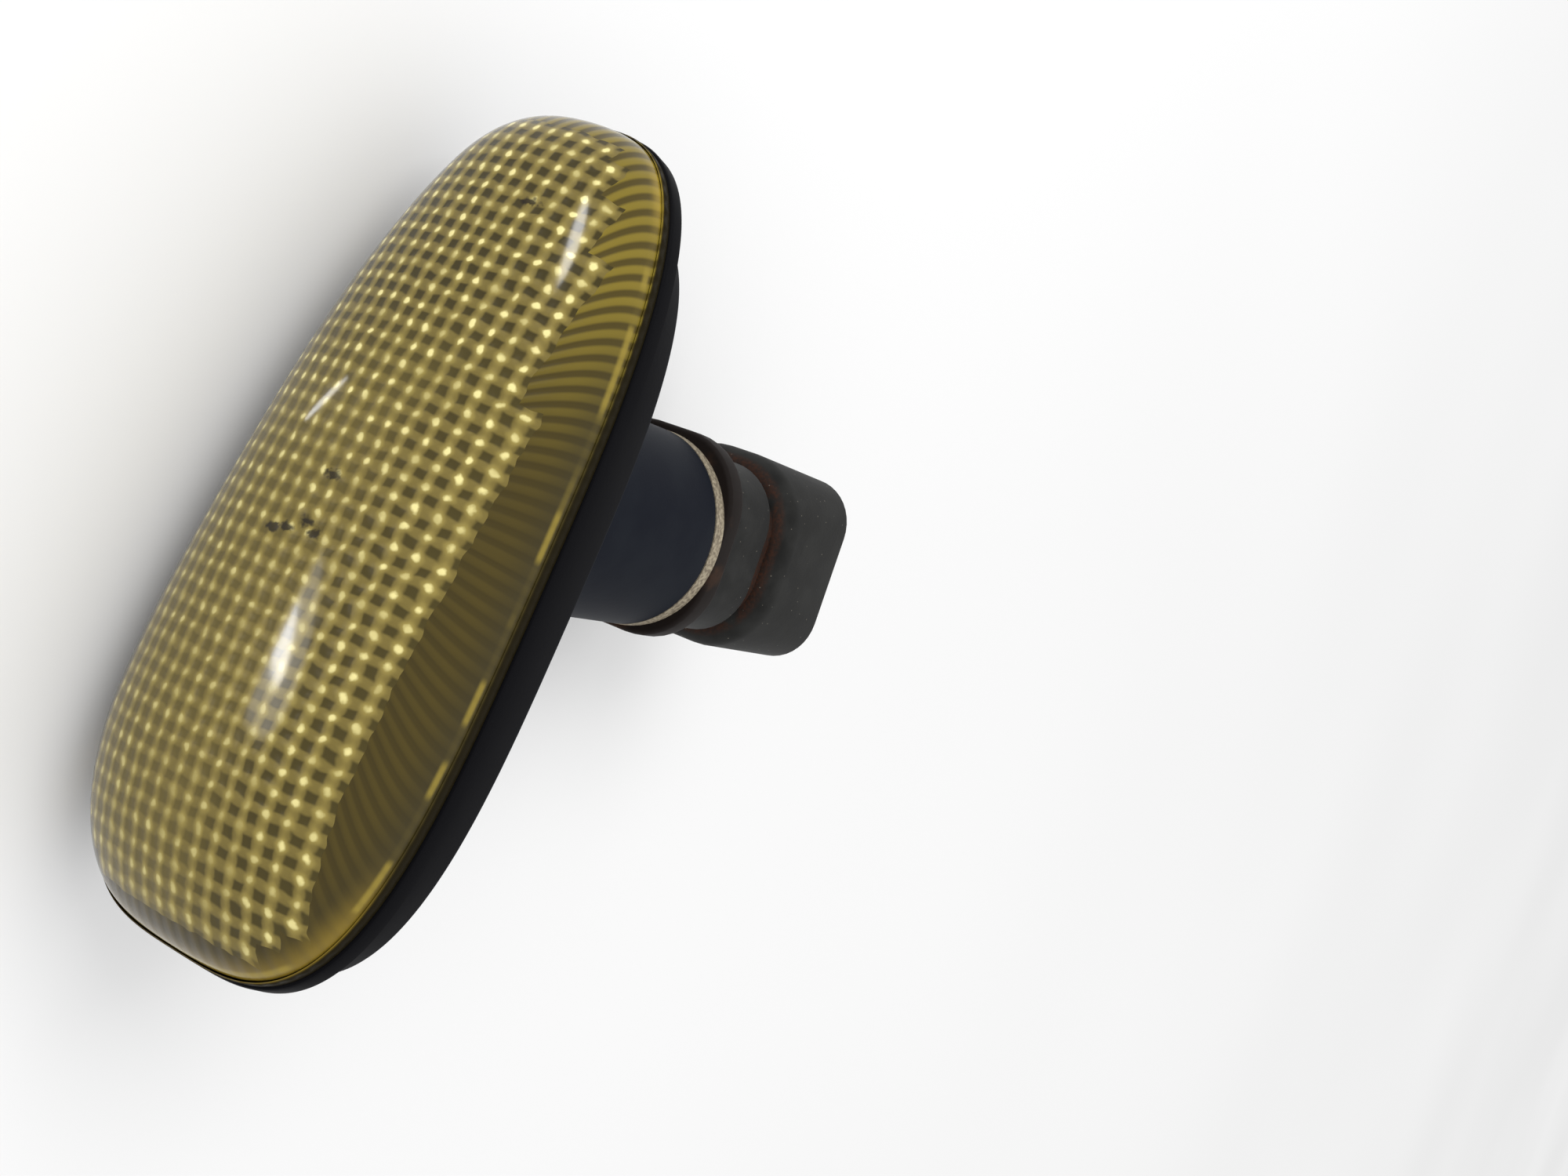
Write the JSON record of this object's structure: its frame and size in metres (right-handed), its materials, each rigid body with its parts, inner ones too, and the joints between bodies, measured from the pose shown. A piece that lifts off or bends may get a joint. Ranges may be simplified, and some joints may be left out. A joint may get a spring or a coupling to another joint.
{
  "type": "side repeater lamp",
  "caption": "Side repeater lamp for a car's wing: a long domed amber lens with pillow optics on a black housing, and a bulb holder turned into its leaning neck.",
  "frame": {"origin": "on the neck's axis, in the plane where the housing seats on the wing", "axes": "the lens faces -Y, its long side lies along X with the broad end at +X, the neck and connector point along +Y and lean towards -X"},
  "size_m": [0.0888, 0.0778, 0.039],
  "materials": {
    "lens_plastic": "clear amber, polished outside, pillows and flutes inside",
    "housing_plastic": "satin black",
    "pale_foam": "pale, grainy",
    "collar_rubber": "dull dark brown",
    "holder_plastic": "dull grey, worn",
    "clear_glass": "clear",
    "wire": "drawn",
    "contact_metal": "satin"
  },
  "bodies": {
    "root": {"lens": "lens_plastic", "housing": "housing_plastic", "neck_gasket": "pale_foam", "holder_collar": "collar_rubber", "bulb_holder": "holder_plastic", "bulb_glass": "clear_glass", "filament": "wire", "lead_left": "wire", "lead_right": "wire", "contact_left": "contact_metal", "contact_right": "contact_metal"}
  },
  "joints": []
}
